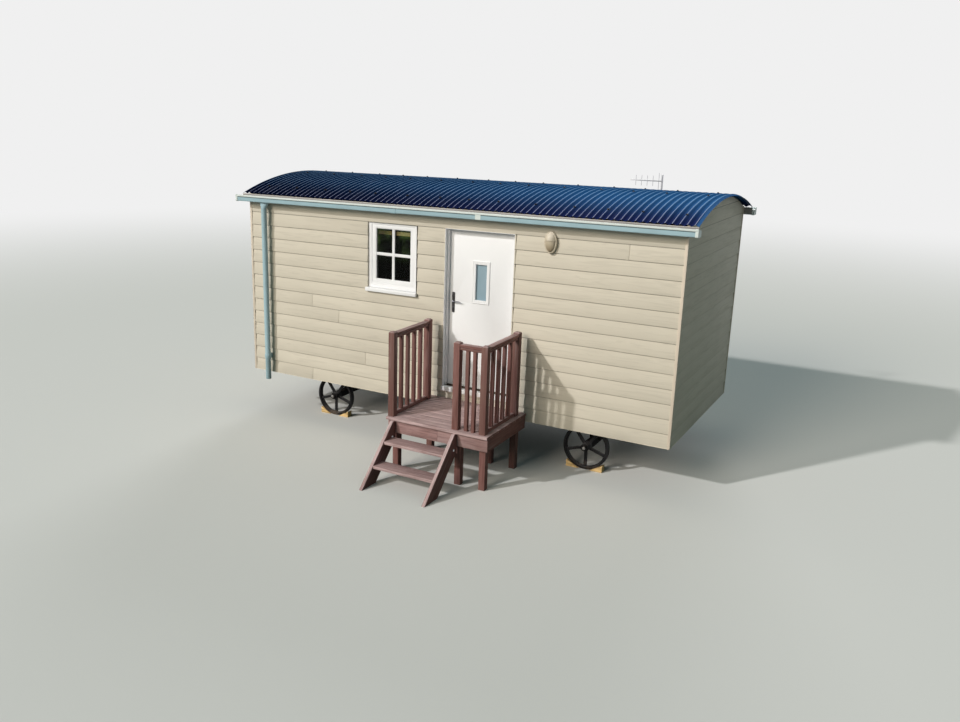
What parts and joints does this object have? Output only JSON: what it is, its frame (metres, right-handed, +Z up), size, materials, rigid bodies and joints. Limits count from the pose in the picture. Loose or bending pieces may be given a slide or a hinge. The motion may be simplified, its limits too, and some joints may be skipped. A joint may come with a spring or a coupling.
{
  "type": "shepherds hut with entry platform",
  "caption": "Timber-clad wheeled hut with a barrel roof of corrugated metal, a hinged door, a small-paned window and a raised entry deck with steps and railings.",
  "frame": {"origin": "centre of the footprint on the ground, under the middle of the bounding box", "axes": "+X along the hut's length, with the door side facing -Y, +Z up"},
  "size_m": [5.98, 4.274, 3.27],
  "materials": {
    "cladding": "matt stone-coloured paint on lapped boards",
    "trim": "matt painted timber trim",
    "structure": "planed softwood framing and sheathing",
    "roof": "dark blue coated corrugated steel",
    "rainwater": "pale blue-grey coated gutter and pipe",
    "joinery": "white painted joinery",
    "glazing": "clear glass, dark behind",
    "ironmongery": "satin metal door furniture",
    "lamp": "beige coated wall light",
    "chassis": "black painted steel",
    "wheels": "black painted cast iron, a little rubbed",
    "decking": "red-brown stained decking timber",
    "chocks": "bare sawn pine",
    "aerial": "bare aluminium tube"
  },
  "bodies": {
    "hut": {"floor": "structure", "front_wall_left": "structure", "front_wall_right": "structure", "front_wall_over_door": "structure", "rear_wall": "structure", "left_end_wall": "structure", "right_end_wall": "structure", "front_cladding": "cladding", "rear_cladding": "cladding", "left_end_cladding": "cladding", "right_end_cladding": "cladding", "corner_trims": "trim", "roof_deck": "structure", "roof_sheet": "roof", "fascias": "trim", "front_gutter": "rainwater", "rear_gutter": "rainwater", "downpipe": "rainwater", "window_frame": "joinery", "window_sash": "joinery", "window_glass": "glazing", "window_sill": "trim", "door_frame": "joinery", "door_cill": "joinery", "door_hinges": "ironmongery", "wall_lamp": "lamp", "chassis": "chassis", "left_axle": "chassis", "right_axle": "chassis", "wheel_chocks": "chocks", "aerial": "aerial", "platform_deck": "decking", "platform_frame": "decking", "platform_legs": "decking", "railing_posts": "decking", "left_railing": "decking", "right_railing": "decking", "front_railing": "decking", "stair_stringers": "decking", "stair_treads": "decking"},
    "door": {"door_leaf": "joinery", "door_light": "glazing", "door_handle_plates": "ironmongery", "door_hinge_leaves": "ironmongery"},
    "lever": {"door_lever": "ironmongery"},
    "front_left_wheel": {"front_left_wheel": "wheels"},
    "front_right_wheel": {"front_right_wheel": "wheels"},
    "rear_left_wheel": {"rear_left_wheel": "wheels"},
    "rear_right_wheel": {"rear_right_wheel": "wheels"}
  },
  "joints": [
    {"name": "door_swing", "type": "hinge", "parent": "hut", "child": "door", "pos_m": [0.9505, -0.3327, 0.8], "axis": [0, 0, -1], "range_deg": [0, 90]},
    {"name": "door_lever_turn", "type": "hinge", "parent": "door", "child": "lever", "pos_m": [0.156, -0.373, 1.833], "axis": [0, 1, 0], "range_deg": [0, 40], "stiffness_Nm_per_rad": 1.5, "springref_deg": -20.05},
    {"name": "front_left_wheel_turn", "type": "hinge", "parent": "hut", "child": "front_left_wheel", "pos_m": [-1.734, -0.167, 0.27], "axis": [0, -1, 0], "continuous": true},
    {"name": "front_right_wheel_turn", "type": "hinge", "parent": "hut", "child": "front_right_wheel", "pos_m": [1.832, -0.167, 0.27], "axis": [0, -1, 0], "continuous": true},
    {"name": "rear_left_wheel_turn", "type": "hinge", "parent": "hut", "child": "rear_left_wheel", "pos_m": [-1.734, 1.643, 0.27], "axis": [0, -1, 0], "continuous": true},
    {"name": "rear_right_wheel_turn", "type": "hinge", "parent": "hut", "child": "rear_right_wheel", "pos_m": [1.832, 1.643, 0.27], "axis": [0, -1, 0], "continuous": true}
  ]
}
